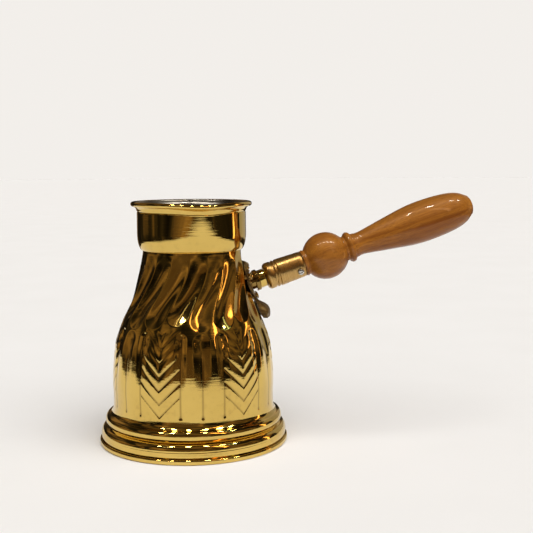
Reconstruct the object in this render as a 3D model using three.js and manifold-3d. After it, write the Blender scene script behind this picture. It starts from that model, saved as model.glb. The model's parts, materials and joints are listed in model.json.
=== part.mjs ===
// Turkish coffee pot (cezve): an embossed brass vessel with a turned wooden handle.
// Millimetres, +Z up. The origin is the centre of the underside, the handle points along +X
// and the pouring lip faces -Y.
//
// The vessel stands on a base plate crimped round its foot. A cast bracket is riveted to its wall
// and carries a threaded boss. The handle screws into the boss: its stud is captive in a brass
// ferrule, and one small screw pins the ferrule to the wood.

import * as THREE from 'three';
import { mergeVertices } from 'three/addons/utils/BufferGeometryUtils.js';
import Module from 'manifold-3d';

const manifold = await Module();
manifold.setup();

const DEGREE = Math.PI / 180;
const GAP = 0.3; // clearance left between neighbouring pieces

// ---- Driving dimensions -------------------------------------------------------------------

const vessel = {
	wall: 1.2,
	footFlange: 46.3, // radius of the flange held in the crimp
	footWaist: 45.4, // radius just above the crimp
	footRoll: 46.4, // radius of the rounded lower moulding
	groove: 9, // height of the groove between the two mouldings
	upperRoll: 44.2, // radius of the rounded upper moulding
	upperRollHeight: 12.2,
	upperRollSize: 2.7, // radius of its cross-section
	stepTop: 15, // height where the upper moulding meets the wall
	step: 41.6, // radius of the wall there
	neckRadius: 24.3,
	neckHeight: 95,
	collarRadius: 27,
	collarBottom: 104.3, // where the round shoulder ends and the upright wall begins
	collarMiddle: 109,
	collarTop: 114.8,
	beadRadius: 1.2,
	rimRadius: 30,
	height: 120,
	columns: 72
};

// Pressed inwards: swirled flutes round the shoulder, and below them upright grooves that leave
// six plain fields for the leaves.
const relief = {
	flutes: 18,
	fluteDepth: 0.9,
	fluteFoot: 62,
	fluteHead: 92,
	swirl: 21 * DEGREE, // turn of a flute between its foot and the neck
	leaves: 6,
	grooves: 24, // places round the wall; the one at each leaf's middle stays plain
	grooveDepth: 0.4,
	grooveFoot: 20,
	grooveHead: 58
};

const lip = { azimuth: -85 * DEGREE, reach: 2.2, drop: 0.8, halfAngle: 23 * DEGREE, start: 100 };

const base = { radius: 47.25, sheet: 0.8, height: 2.5, foldInner: 45.9 };

const handle = {
	tilt: 18 * DEGREE,
	startRadius: 28.8, // where the handle's axis leaves the vessel's wall
	startHeight: 78.4,
	length: 123.9
};

// Distances below are measured along the handle's axis from the vessel's wall.
const boss = {
	start: 0.6,
	flangeBack: 2.8,
	flangeFront: 5,
	end: 8.4,
	radius: 4.55,
	flange: 5.35,
	spigot: 4
};

const stud = { start: 0.8, radius: 2.5, headStart: 10.2, headEnd: 12.7, headRadius: 4.4 };

const ferrule = {
	start: 8.7,
	end: 29.1,
	bore: 5.6,
	endWall: 1.2,
	radius: 6.9,
	mouthRadius: 6.45,
	grooveDepth: 0.5,
	grooveWidth: 1.6
};

const grip = {
	start: 13,
	tenon: 5.3,
	stepRadius: 6.6,
	stepLength: 1.8,
	ballCentre: 41.7,
	ballRadius: 12,
	waist: 6.1,
	beadCentre: 55.1,
	beadRadius: 7.9,
	beadSize: 1.6,
	endRadius: 2.8
};

// The screw through the ferrule points sideways, towards the lip, and a little down.
const pin = {
	station: 26,
	fromHorizontal: 22 * DEGREE,
	shank: 0.9,
	tip: 1.6,
	point: 1.2,
	seat: 6.95,
	headRadius: 1.5,
	headHeight: 1
};

const bracket = {
	top: 89.5,
	bottom: 61,
	thickness: 1.7,
	padCentre: 80.5,
	padWidth: 8.6, // half-widths
	padHeight: 9.2,
	stemEnd: 71.5, // height where the stem begins to spread
	stemWidth: 3.1,
	palmetteWidth: 8.2,
	tipWidth: 5.6,
	standOff: 2.2, // how far the palmette stands off the wall, besides the gap
	swell: 2.3 // extra thickness of the palmette
};

const rivet = { radius: 1.1, headRadius: 2.1, dome: 1.1, clench: 0.8 };

// ---- Materials ----------------------------------------------------------------------------

const metal = (color, roughness) => new THREE.MeshStandardMaterial({ color, roughness, metalness: 1 });

const materials = {
	polishedBrass: metal(0xc9a24a, 0.12),
	castBrass: metal(0xa67f35, 0.3),
	brushedBrass: metal(0xb98c45, 0.28),
	solder: metal(0x9c9a94, 0.4),
	steel: metal(0xb4b2ac, 0.3),
	wood: new THREE.MeshStandardMaterial({ color: 0xa9672a, roughness: 0.25, metalness: 0 })
};

// ---- Helpers ------------------------------------------------------------------------------

const point = (radius, height) => new THREE.Vector2(radius, height);

const smoothStep = (from, to, value) => {
	const share = THREE.MathUtils.clamp((value - from) / (to - from), 0, 1);
	return share * share * (3 - 2 * share);
};

// Points of an arc, both ends included; angles in degrees, 0 along the radius and 90 upwards.
function arc(centreRadius, centreHeight, radius, fromAngle, toAngle, steps) {
	return Array.from({ length: steps + 1 }, (_, i) => {
		const angle = (fromAngle + ((toAngle - fromAngle) * i) / steps) * DEGREE;
		return point(centreRadius + radius * Math.cos(angle), centreHeight + radius * Math.sin(angle));
	});
}

// A solid of revolution about +Z. The outline starts and ends on the axis or closes on itself.
function turned(outline, segments) {
	return new THREE.LatheGeometry(outline, segments).rotateX(Math.PI / 2);
}

function closed(outline) {
	return [...outline, outline[0].clone()];
}

// A cylinder along +Z between two stations.
function rod(radius, from, to, segments = 24) {
	return turned([point(0, from), point(radius, from), point(radius, to), point(0, to)], segments);
}

function toSolid(geometry) {
	const bare = geometry.clone();
	bare.deleteAttribute('normal');
	bare.deleteAttribute('uv');
	const merged = mergeVertices(bare, 1e-4);
	const mesh = new manifold.Mesh({
		numProp: 3,
		vertProperties: new Float32Array(merged.attributes.position.array),
		triVerts: new Uint32Array(merged.index.array)
	});
	mesh.merge();
	return new manifold.Manifold(mesh);
}

function cutAway(geometry, tools) {
	const solid = tools.reduce((rest, tool) => rest.subtract(toSolid(tool)), toSolid(geometry));
	const mesh = solid.getMesh();
	const result = new THREE.BufferGeometry();
	result.setAttribute('position', new THREE.BufferAttribute(new Float32Array(mesh.vertProperties), 3));
	result.setIndex(new THREE.BufferAttribute(new Uint32Array(mesh.triVerts), 1));
	result.computeVertexNormals();
	return result;
}

function piece(name, geometry, material) {
	const mesh = new THREE.Mesh(geometry, material.clone());
	mesh.name = name;
	return mesh;
}

// ---- Vessel -------------------------------------------------------------------------------

// Outside of the wall from the step up to the neck.
const wallCurve = new THREE.SplineCurve([
	point(vessel.step, vessel.stepTop),
	point(40.4, 17.5),
	point(40.1, 24),
	point(40.3, 32),
	point(39.7, 42),
	point(38.3, 51.5),
	point(34.2, 62.5),
	point(29.6, 73),
	point(27.0, 82),
	point(25.1, 90.5),
	point(vessel.neckRadius, vessel.neckHeight)
]);

function wallRadius(height) {
	const samples = wallCurve.getPoints(120);
	const upper = Math.max(1, samples.findIndex((sample) => sample.y >= height));
	const [low, high] = [samples[upper - 1], samples[upper]];
	return THREE.MathUtils.mapLinear(height, low.y, high.y, low.x, high.x);
}

// Tilt of the wall's outward normal above the horizontal.
function wallTilt(height) {
	const span = 2;
	return Math.atan((wallRadius(height - span) - wallRadius(height + span)) / (2 * span));
}

function footOutline() {
	const roll = vessel.footRoll - vessel.footWaist;
	const rollHeight = 6.2;
	const rollBottom = base.height + GAP;
	const bottom = base.sheet + GAP;
	const flange = 0.6;
	const lowerRoll = [0, 0.25, 0.5, 0.75, 1].map((share) => (
		point(vessel.footWaist + roll * Math.sin(share * 150 * DEGREE), rollBottom + share * rollHeight)
	));
	const size = vessel.upperRollSize;
	const upperRoll = arc(vessel.upperRoll - size, vessel.upperRollHeight, size, -75, 65, 4);
	return [
		point(vessel.footFlange, bottom),
		point(vessel.footFlange, bottom + flange),
		point(vessel.footWaist, bottom + flange + 0.3),
		...lowerRoll,
		...upperRoll
	];
}

function collarOutline() {
	const bulge = vessel.collarRadius - vessel.neckRadius;
	const rise = vessel.collarBottom - vessel.neckHeight - 1;
	const shoulder = [0, 25, 50, 70, 90].map((angle) => point(
		vessel.neckRadius + bulge * Math.sin(angle * DEGREE),
		vessel.collarBottom - rise * Math.cos(angle * DEGREE)
	));
	return [
		...shoulder,
		point(vessel.collarRadius, vessel.collarMiddle),
		point(vessel.collarRadius, vessel.collarTop)
	];
}

function beadOutline() {
	const { beadRadius, rimRadius, height } = vessel;
	return arc(rimRadius - beadRadius, height - beadRadius, beadRadius, -120, 170, 6);
}

function innerOutline() {
	const { wall, groove, stepTop, neckRadius, neckHeight } = vessel;
	const { collarRadius, collarTop, collarMiddle, collarBottom } = vessel;
	const wallPoints = wallCurve.getPoints(7).reverse().map((p) => point(p.x - wall, p.y));
	const foot = vessel.footWaist - wall;
	const ledge = vessel.step + 0.6 - wall; // inside of the groove between the two mouldings
	return [
		point(collarRadius - wall, collarTop + 1),
		point(collarRadius - wall, collarMiddle),
		point(collarRadius - wall, collarBottom),
		point(neckRadius - wall + 0.9, neckHeight + 3.5),
		...wallPoints,
		point(ledge, stepTop - 2),
		point(ledge, groove),
		point(foot, groove - wall),
		point(foot, base.height + 1.5),
		point(foot - 0.2, base.sheet + GAP)
	];
}

// 0 in the middle of a leaf, 1 halfway between two leaves.
function awayFromLeaf(angle) {
	const turns = (angle * relief.leaves) / (2 * Math.PI);
	return 2 * Math.abs(turns - Math.round(turns));
}

// Flutes and grooves are pressed inwards, so no part of the wall stands outside the outline.
function pressedDepth(angle, height) {
	const fluteShare = 0.5 - 0.5 * Math.cos(relief.flutes * angle);
	const fluted = smoothStep(relief.fluteFoot - 2, relief.fluteFoot + 2, height)
		* (1 - smoothStep(relief.fluteHead - 3, relief.fluteHead + 2, height));
	const plainField = awayFromLeaf(angle) < 0.25;
	const grooveShare = plainField ? 0 : Math.max(0, Math.cos(relief.grooves * angle));
	const grooved = smoothStep(relief.grooveFoot - 2, relief.grooveFoot + 2, height)
		* (1 - smoothStep(relief.grooveHead - 2, relief.grooveHead + 2, height));
	return relief.fluteDepth * fluteShare * fluted + relief.grooveDepth * grooveShare * grooved;
}

function lipShare(angle, height) {
	const aside = Math.atan2(Math.sin(angle - lip.azimuth), Math.cos(angle - lip.azimuth));
	const across = Math.exp(-((aside / lip.halfAngle) ** 2));
	const rise = THREE.MathUtils.clamp((height - lip.start) / (vessel.height - lip.start), 0, 1);
	return across * (1 - (1 - rise) ** 1.3);
}

function emboss(geometry) {
	const position = geometry.attributes.position;
	for (let i = 0; i < position.count; i++) {
		const [x, y, height] = [position.getX(i), position.getY(i), position.getZ(i)];
		const angle = Math.atan2(y, x);
		const turn = relief.swirl * smoothStep(relief.fluteFoot, relief.fluteHead, height);
		const share = lipShare(angle + turn, height);
		const radius = Math.hypot(x, y) - pressedDepth(angle, height) + lip.reach * share;
		position.setXYZ(
			i,
			radius * Math.cos(angle + turn),
			radius * Math.sin(angle + turn),
			height - lip.drop * share
		);
	}
	return geometry;
}

function vesselShape() {
	const outline = [
		...footOutline(),
		...wallCurve.getPoints(13),
		...collarOutline(),
		...beadOutline(),
		...innerOutline()
	];
	return emboss(turned(closed(outline), vessel.columns));
}

// A disc whose edge is folded up and in over the flange of the vessel's foot.
function basePlate() {
	const { radius, sheet, height, foldInner } = base;
	const edge = 0.65;
	const fold = 0.4;
	return turned([
		point(0, 0),
		...arc(radius - 0.8, 0.8, 0.8, -90, 0, 3),
		...arc(radius - 0.8, height - 0.8, 0.8, 0, 90, 3),
		point(foldInner, height),
		point(foldInner, height - fold),
		point(radius - edge, height - fold),
		point(radius - edge, sheet),
		point(0, sheet)
	], 56);
}

// The fillet of solder inside, between the vessel's wall and the base plate.
function solderSeam() {
	const leg = 2.6;
	const outer = vessel.footWaist - vessel.wall - 0.5;
	const bottom = base.sheet + GAP;
	return turned(closed([
		point(outer - leg, bottom),
		point(outer, bottom),
		point(outer, bottom + leg),
		...arc(outer - leg, bottom + leg, leg, -20, -70, 1)
	]), 40);
}

// ---- Places on the handle side ------------------------------------------------------------

// Turns local +Z into the outward direction at an azimuth round the vessel and a tilt above level.
function outwardMatrix(azimuth, tilt, radius, height) {
	const turn = new THREE.Matrix4().makeRotationZ(azimuth);
	const lean = new THREE.Matrix4().makeRotationY(Math.PI / 2 - tilt);
	const shift = new THREE.Matrix4().makeTranslation(radius, 0, height);
	return turn.multiply(shift).multiply(lean);
}

const handleMatrix = outwardMatrix(0, handle.tilt, handle.startRadius, handle.startHeight);

// Three rivets hold the bracket: two beside the boss and one on the stem.
const rivets = [
	{ name: 'bracket_rivet_left', azimuth: -14 * DEGREE, height: 82 },
	{ name: 'bracket_rivet_right', azimuth: 14 * DEGREE, height: 82 },
	{ name: 'bracket_rivet_lower', azimuth: 0, height: 71.2 }
];

const rivetMatrix = ({ azimuth, height }) => (
	outwardMatrix(azimuth, wallTilt(height), wallRadius(height), height)
);

function rivetHoles() {
	return rivets.map((place) => rod(rivet.radius + GAP, -6, 8, 16).applyMatrix4(rivetMatrix(place)));
}

// ---- Bracket ------------------------------------------------------------------------------

// Half-width of the casting: round pad, slim stem, spreading palmette.
function bracketHalfWidth(height) {
	const { padCentre, padWidth, padHeight } = bracket;
	const { stemEnd, stemWidth, palmetteWidth, tipWidth, bottom } = bracket;
	const pad = padWidth * Math.sqrt(Math.max(0, 1 - ((height - padCentre) / padHeight) ** 2));
	const narrowing = (palmetteWidth - tipWidth) * smoothStep(bottom + 3, bottom, height);
	const palmette = palmetteWidth * smoothStep(stemEnd, stemEnd - 6.5, height) - narrowing;
	return Math.max(pad, stemWidth, palmette);
}

// Distance between the vessel's wall and the back of the casting.
const bracketStandOff = (height) => GAP + bracket.standOff * smoothStep(bracket.stemEnd + 1, 63, height);

function bracketThickness(height, across) {
	const crown = 1 - 0.35 * across ** 2;
	const swelling = smoothStep(70, 67, height) * (1 - smoothStep(67, bracket.bottom - 0.5, height));
	return (bracket.thickness + bracket.swell * swelling) * crown;
}

// A closed solid between a back and a front grid of points.
function gridSolid(rows, columns, backPoint, frontPoint) {
	const positions = [];
	const index = [];
	const layers = [backPoint, frontPoint];
	layers.forEach((place) => {
		for (let row = 0; row <= rows; row++) {
			for (let column = 0; column <= columns; column++) {
				positions.push(...place(row / rows, (2 * column) / columns - 1));
			}
		}
	});
	const at = (layer, row, column) => (layer * (rows + 1) + row) * (columns + 1) + column;
	const quad = (a, b, c, d) => index.push(a, b, c, a, c, d);
	for (let row = 0; row < rows; row++) {
		for (let column = 0; column < columns; column++) {
			quad(at(0, row, column), at(0, row, column + 1), at(0, row + 1, column + 1), at(0, row + 1, column));
			quad(at(1, row, column), at(1, row + 1, column), at(1, row + 1, column + 1), at(1, row, column + 1));
		}
		quad(at(0, row, 0), at(0, row + 1, 0), at(1, row + 1, 0), at(1, row, 0));
		quad(at(0, row, columns), at(1, row, columns), at(1, row + 1, columns), at(0, row + 1, columns));
	}
	for (let column = 0; column < columns; column++) {
		quad(at(0, 0, column), at(1, 0, column), at(1, 0, column + 1), at(0, 0, column + 1));
		quad(at(0, rows, column), at(0, rows, column + 1), at(1, rows, column + 1), at(1, rows, column));
	}
	const geometry = new THREE.BufferGeometry();
	geometry.setAttribute('position', new THREE.Float32BufferAttribute(positions, 3));
	geometry.setIndex(index);
	return geometry;
}

function bracketPlate() {
	const place = (extra) => (down, across) => {
		const height = THREE.MathUtils.lerp(bracket.top, bracket.bottom, down);
		const wall = wallRadius(height);
		const radius = wall + bracketStandOff(height) + extra(height, across);
		const angle = (across * bracketHalfWidth(height)) / wall;
		return [radius * Math.cos(angle), radius * Math.sin(angle), height];
	};
	const plate = gridSolid(19, 8, place(() => 0), place(bracketThickness));
	const spigotHole = rod(boss.spigot + GAP, -4, 8).applyMatrix4(handleMatrix);
	return cutAway(plate, [spigotHole, ...rivetHoles()]);
}

function bracketBoss() {
	const bore = stud.radius + GAP;
	return turned(closed([
		point(bore, boss.start),
		point(boss.spigot, boss.start),
		point(boss.spigot, boss.flangeBack),
		point(boss.flange, boss.flangeBack),
		point(boss.flange, boss.flangeFront - 0.4),
		point(boss.flange - 0.4, boss.flangeFront),
		point(boss.radius, boss.flangeFront),
		point(boss.radius, boss.end),
		point(bore, boss.end)
	]), 24);
}

// Outer head, shank through bracket and wall, and the peened head inside the vessel.
function rivetShape({ height }) {
	const { radius, headRadius, dome, clench } = rivet;
	const seat = (bracketStandOff(height) + bracket.thickness) * Math.cos(wallTilt(height)) + GAP;
	const inside = -vessel.wall - relief.fluteDepth - GAP;
	return turned([
		point(0, inside - clench),
		point(headRadius * 0.6, inside - clench * 0.75),
		point(headRadius * 0.85, inside),
		point(radius, inside),
		point(radius, seat),
		point(headRadius, seat),
		...[35, 65].map((angle) => (
			point(headRadius * Math.cos(angle * DEGREE), seat + dome * Math.sin(angle * DEGREE))
		)),
		point(0, seat + dome)
	], 16);
}

const bodyShell = () => cutAway(vesselShape(), rivetHoles());

// ---- Handle, in its own frame: +Z runs along the handle's axis ---------------------------

function handleStud() {
	return turned([
		point(0, stud.start),
		point(stud.radius - 0.4, stud.start),
		point(stud.radius, stud.start + 0.6),
		point(stud.radius, stud.headStart),
		point(stud.headRadius, stud.headStart),
		point(stud.headRadius, stud.headEnd),
		point(0, stud.headEnd)
	], 20);
}

const pinMatrix = new THREE.Matrix4()
	.makeTranslation(0, 0, pin.station)
	.multiply(new THREE.Matrix4().makeRotationZ(pin.fromHorizontal))
	.multiply(new THREE.Matrix4().makeRotationX(Math.PI / 2));

function ferruleShape() {
	const { start, end, bore, endWall, radius, mouthRadius, grooveDepth, grooveWidth } = ferrule;
	const firstGroove = start + 4.6;
	const shell = turned(closed([
		point(stud.radius + GAP, start),
		point(radius - 1.9, start),
		point(radius - 0.6, start + 0.6),
		point(radius - 0.1, start + 1.9),
		point(radius - 0.1, firstGroove - grooveWidth / 2),
		point(radius - grooveDepth, firstGroove),
		point(radius, firstGroove + grooveWidth / 2),
		point(radius - grooveDepth, firstGroove + grooveWidth),
		point(radius, firstGroove + 1.5 * grooveWidth),
		point(mouthRadius, end),
		point(bore, end),
		point(bore, start + endWall),
		point(stud.radius + GAP, start + endWall)
	]), 28);
	const screwHole = rod(pin.shank + GAP, 3, 10, 16).applyMatrix4(pinMatrix);
	return cutAway(shell, [screwHole]);
}

function ferruleScrew() {
	const { tip, shank, seat, headRadius, headHeight } = pin;
	return turned([
		point(0, tip),
		point(shank, tip + pin.point),
		point(shank, seat),
		point(headRadius, seat),
		point(headRadius, seat + headHeight * 0.5),
		point(headRadius * 0.7, seat + headHeight * 0.9),
		point(0, seat + headHeight)
	], 16);
}

// The baluster from the bead to the blunt end.
const balusterCurve = new THREE.SplineCurve([
	point(5.9, 59.5),
	point(6.1, 63),
	point(8.2, 75.4),
	point(10.3, 89.2),
	point(10.7, 100),
	point(9.9, 111.3),
	point(8.2, 118),
	point(5.2, 122.7)
]);

function handleGrip() {
	const { start, tenon, stepRadius, stepLength, ballCentre, ballRadius, waist } = grip;
	const { beadCentre, beadRadius, beadSize, endRadius } = grip;
	const shoulder = ferrule.end + GAP;
	const beadHalf = beadSize + 0.2;
	const wood = turned([
		point(0, start),
		point(tenon - 0.5, start),
		point(tenon, start + 0.5),
		point(tenon, shoulder),
		point(stepRadius, shoulder),
		point(stepRadius, shoulder + stepLength),
		...arc(0, ballCentre, ballRadius, -56, 60, 9),
		point(waist, beadCentre - beadHalf),
		...arc(beadRadius - beadSize, beadCentre, beadSize, -60, 60, 4),
		point(waist + 0.2, beadCentre + beadHalf),
		point(waist + 0.1, beadCentre + beadHalf + stepLength),
		...balusterCurve.getPoints(10),
		point(endRadius, handle.length),
		point(0, handle.length)
	], 28);
	const screwHole = rod(pin.shank + GAP, pin.tip - GAP, 9, 16).applyMatrix4(pinMatrix);
	return cutAway(wood, [screwHole]);
}

// ---- Assembly -----------------------------------------------------------------------------

const pot = new THREE.Group();
pot.add(
	piece('body_shell', bodyShell(), materials.polishedBrass),
	piece('base_plate', basePlate(), materials.polishedBrass),
	piece('solder_seam', solderSeam(), materials.solder),
	piece('bracket_plate', bracketPlate(), materials.castBrass)
);
rivets.forEach((place) => {
	const mesh = piece(place.name, rivetShape(place), materials.castBrass);
	mesh.applyMatrix4(rivetMatrix(place));
	pot.add(mesh);
});

const screw = piece('ferrule_screw', ferruleScrew(), materials.steel);
screw.applyMatrix4(pinMatrix);

const alongHandle = new THREE.Group();
alongHandle.applyMatrix4(handleMatrix);
alongHandle.add(
	piece('bracket_boss', bracketBoss(), materials.polishedBrass),
	piece('handle_stud', handleStud(), materials.steel),
	piece('ferrule', ferruleShape(), materials.brushedBrass),
	piece('handle_grip', handleGrip(), materials.wood),
	screw
);

const cezve = new THREE.Group();
cezve.add(pot, alongHandle);

export default cezve;
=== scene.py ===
"""The looks of an embossed brass coffee pot (cezve) with a turned wooden handle.

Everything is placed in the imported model's frame: +Z up, the handle towards +X, the pouring lip
towards -Y. Shapes are worked out in millimetres and scaled to metres when a mesh is made.
"""

import json
import math

import bpy
import numpy as np
from mathutils import Matrix, Quaternion, Vector


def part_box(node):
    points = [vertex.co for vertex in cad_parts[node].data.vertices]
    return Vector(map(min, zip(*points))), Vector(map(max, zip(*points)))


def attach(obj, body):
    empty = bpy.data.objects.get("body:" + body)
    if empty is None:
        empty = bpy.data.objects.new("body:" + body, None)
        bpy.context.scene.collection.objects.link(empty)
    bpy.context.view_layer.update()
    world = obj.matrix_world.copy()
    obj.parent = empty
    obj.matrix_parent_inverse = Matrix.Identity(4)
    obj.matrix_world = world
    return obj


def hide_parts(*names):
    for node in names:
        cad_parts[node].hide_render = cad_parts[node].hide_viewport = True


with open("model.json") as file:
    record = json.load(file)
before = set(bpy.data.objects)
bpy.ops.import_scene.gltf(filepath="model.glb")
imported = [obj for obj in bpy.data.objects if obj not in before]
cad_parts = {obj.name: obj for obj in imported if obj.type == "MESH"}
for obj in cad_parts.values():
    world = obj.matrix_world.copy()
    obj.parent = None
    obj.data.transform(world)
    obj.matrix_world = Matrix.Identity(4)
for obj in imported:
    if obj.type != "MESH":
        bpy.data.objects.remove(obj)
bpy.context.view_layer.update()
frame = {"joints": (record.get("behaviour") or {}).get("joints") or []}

MM = 0.001
FULL_TURN = 2 * math.pi


def radians(degrees):
    return np.radians(degrees)


# ---- Driving dimensions, in millimetres ---------------------------------------------------

BASE_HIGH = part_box("base_plate")[1] / MM
SEAM_LOW, SEAM_HIGH = (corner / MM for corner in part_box("solder_seam"))
BRACKET_LOW, BRACKET_HIGH = (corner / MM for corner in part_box("bracket_plate"))

COLUMNS = 720  # round the vessel: two for each degree
WALL = 1.2
WAIST_RADIUS = 45.35  # of the foot, just above the crimp
GROOVE_RADIUS = 42.9  # of the foot, between its two rolls
STEP_RADIUS = 41.6  # where the upper moulding meets the wall
STEP_TOP = 15.0
NECK_RADIUS = 24.3
NECK_HEIGHT = 95.0
COLLAR_RADIUS = 27.0
COLLAR_BOTTOM = 104.3  # where the round shoulder ends and the upright wall begins
COLLAR_TOP = 114.8
BEAD_RADIUS = 1.2
RIM_RADIUS = 30.0
RIM_HEIGHT = 120.0
CRIMP_HEIGHT = float(BASE_HIGH.z)
BASE_RADIUS = float(BASE_HIGH.x) - 0.02
SHEET = 0.8
GAP = 0.3

FLUTES = 18
FLUTE_DEPTH = 1.5
FLUTE_FOOT = 62.0
FLUTE_HEAD = 92.0
SWIRL = 21.0  # degrees that a flute turns between its foot and the neck
LOBE_ENDS = (60.4, 62.4, 59.7)  # the flutes end at three heights, in turn
LOBE_LENGTH = 6.5

LEAVES = 6
LEAF_HALF_ANGLE = 15.0
LEAF_TOP = 60.5
CHEVRON_FOOT = 20.0
CHEVRON_PITCH = 6.4

GROOVE_ANGLES = (15.0, 30.0, 45.0)  # from a leaf's middle
GROOVE_TOP = 59.5
GROOVE_DEPTH = 0.8
LINE_FOOT = 20.4  # each upright line ends there in a punched dot
LINE_DEPTH = 0.17
LINE_WIDTH = 0.42
PATTERN_FOOT = 17.0  # the wall below it is plain

LIP_ANGLE = -85.0
LIP_REACH = 2.2
LIP_DROP = 0.8
LIP_HALF_ANGLE = 23.0
LIP_START = 100.0  # height where the wall begins to lean out

# The handle's own line: a station is a distance along it from the vessel's wall.
TURN = next(joint for joint in frame["joints"] if joint["name"] == "handle_turn")
HANDLE_START = Vector(TURN["pos_m"]) / MM
HANDLE_AXIS = Vector(TURN["axis"]).normalized()
BOSS_END = 8.4
STUD_RADIUS = 2.5
STUD_START = 0.8
THREAD_PITCH = 0.8
FERRULE_START = 8.7
FERRULE_BORE = 5.6
FERRULE_END = 29.1
BALL_CENTRE = 41.7
BALL_RADIUS = 12.0
BEAD_CENTRE = 55.1
GRIP_END = 123.9
WITHIN_BOX = 0.998  # keeps the grip's fine surface inside the box of the plain solid


# ---- Outlines -----------------------------------------------------------------------------


def smooth_step(start, end, value):
    share = np.clip((value - start) / (end - start), 0, 1)
    return share * share * (3 - 2 * share)


def arc(centre_radius, centre_height, radius, from_angle, to_angle, steps, squeeze=1.0):
    """Points of an arc, both ends included. Angles in degrees, 0 along the radius and 90 upwards."""
    angles = radians(np.linspace(from_angle, to_angle, steps + 1))
    across = centre_radius + squeeze * radius * np.cos(angles)
    return np.column_stack([across, centre_height + radius * np.sin(angles)])


def line(start, end, steps):
    return np.linspace(start, end, steps + 1)


def joined(*parts):
    """One outline from several, without points that repeat."""
    points = np.vstack([np.atleast_2d(np.asarray(part, float)) for part in parts])
    apart = np.linalg.norm(np.diff(points, axis=0), axis=1) > 1e-4
    return points[np.concatenate([[True], apart])]


def spline(knots, steps):
    """A smooth curve through the knots, with this many steps between neighbours."""
    knots = np.asarray(knots, float)
    padded = np.vstack([2 * knots[0] - knots[1], knots, 2 * knots[-1] - knots[-2]])
    share = np.linspace(0, 1, steps, endpoint=False)[:, None]
    pieces = []
    for before, start, end, after in zip(padded, padded[1:], padded[2:], padded[3:]):
        bend = 2 * before - 5 * start + 4 * end - after
        twist = 3 * start - before - 3 * end + after
        pieces.append(start + 0.5 * share * (end - before + share * (bend + share * twist)))
    return np.vstack([*pieces, knots[-1:]])


# ---- Meshes -------------------------------------------------------------------------------


def make_object(name, vertices, faces, sharp_angle=40.0):
    mesh = bpy.data.meshes.new(name)
    mesh.from_pydata((np.asarray(vertices) * MM).tolist(), [], faces)
    mesh.validate()
    mesh.shade_smooth()
    mesh.set_sharp_from_angle(angle=math.radians(sharp_angle))
    piece = bpy.data.objects.new(name, mesh)
    bpy.context.scene.collection.objects.link(piece)
    return piece


def ring_faces(rows, columns, close_rows):
    """Quads between rings of points that are counter-clockwise seen from above."""
    row = np.arange(rows if close_rows else rows - 1)[:, None]
    column = np.arange(columns)[None, :]
    below = row * columns
    above = ((row + 1) % rows) * columns
    beside = (column + 1) % columns
    corners = [below + column, below + beside, above + beside, above + column]
    return np.stack(corners, axis=-1).reshape(-1, 4).tolist()


def lathe(name, outline, segments, sharp_angle=40.0, reshape=None):
    """A solid of revolution about Z. Its outline starts and ends on the axis or closes on itself.

    The outline goes up with the outside of the solid on its right. reshape moves the ring points.
    """
    outline = np.asarray(outline, float)
    on_axis = outline[0, 0] < 1e-6
    rings = outline[1:-1] if on_axis else outline
    angles = np.arange(segments) * FULL_TURN / segments
    points = np.empty((len(rings), segments, 3))
    points[..., 0] = rings[:, :1] * np.cos(angles)
    points[..., 1] = rings[:, :1] * np.sin(angles)
    points[..., 2] = rings[:, 1:]
    if reshape:
        points = reshape(points)
    vertices = points.reshape(-1, 3)
    faces = ring_faces(len(rings), segments, close_rows=not on_axis)
    if on_axis:
        count = len(vertices)
        poles = np.array([[0, 0, outline[0, 1]], [0, 0, outline[-1, 1]]])
        vertices = np.vstack([vertices, poles])
        top = (len(rings) - 1) * segments
        for column in range(segments):
            beside = (column + 1) % segments
            faces.append([count, beside, column])
            faces.append([count + 1, top + column, top + beside])
    return make_object(name, vertices, faces, sharp_angle)


def cut_away(piece, cutter):
    """Takes the cutter's shape out of the piece, then deletes the cutter."""
    cut = piece.modifiers.new("cut", "BOOLEAN")
    cut.operation = "DIFFERENCE"
    cut.solver = "EXACT"
    cut.object = cutter
    bpy.context.view_layer.update()
    finished = piece.evaluated_get(bpy.context.evaluated_depsgraph_get())
    piece.data = bpy.data.meshes.new_from_object(finished)
    piece.modifiers.clear()
    bpy.data.objects.remove(cutter)


def set_attribute(piece, name, values):
    attribute = piece.data.attributes.new(name, "FLOAT", "POINT")
    attribute.data.foreach_set("value", np.asarray(values, np.float32).ravel())


def finish_piece(piece, material, body, node, matrix=None):
    """Gives a piece its place, material and body, and hides the CAD node that it stands for.

    The materials read where a point was in the piece's own frame from the attribute called own_place.
    """
    own_place = piece.data.attributes.new("own_place", "FLOAT_VECTOR", "POINT")
    own_place.data.foreach_set("vector", np.array([v.co for v in piece.data.vertices]).ravel())
    piece.data.materials.append(material)
    if matrix is not None:
        piece.data.transform(matrix)
    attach(piece, body)
    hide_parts(node)
    return piece


# ---- Vessel -------------------------------------------------------------------------------

WALL_KNOTS = (
    (STEP_RADIUS, STEP_TOP),
    (40.75, 15.9),
    (40.3, 17.4),
    (40.1, 20),
    (40.1, 24),
    (40.3, 32),
    (39.7, 42),
    (38.3, 51.5),
    (34.2, 62.5),
    (29.6, 73),
    (27.0, 82),
    (25.1, 90.5),
    (NECK_RADIUS, NECK_HEIGHT),
)
WALL_LINE = spline(WALL_KNOTS, 24)


def wall_radius(height):
    return np.interp(height, WALL_LINE[:, 1], WALL_LINE[:, 0])


def wall_tilt(height):
    """Tilt of the wall's outward normal above the horizontal."""
    return math.atan((wall_radius(height - 2) - wall_radius(height + 2)) / 4)


def from_nearest(angle, spacing, offset=0.0):
    """Signed distance to the nearest of evenly spaced angles, and the number of that one."""
    number = np.round((angle - offset) / spacing)
    return angle - offset - number * spacing, number.astype(int)


def dish(share):
    """Depth of a pressed hollow from its middle, 0, to its edge, 1."""
    return np.clip(1 - share**2, 0, 1) ** 1.25


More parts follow.
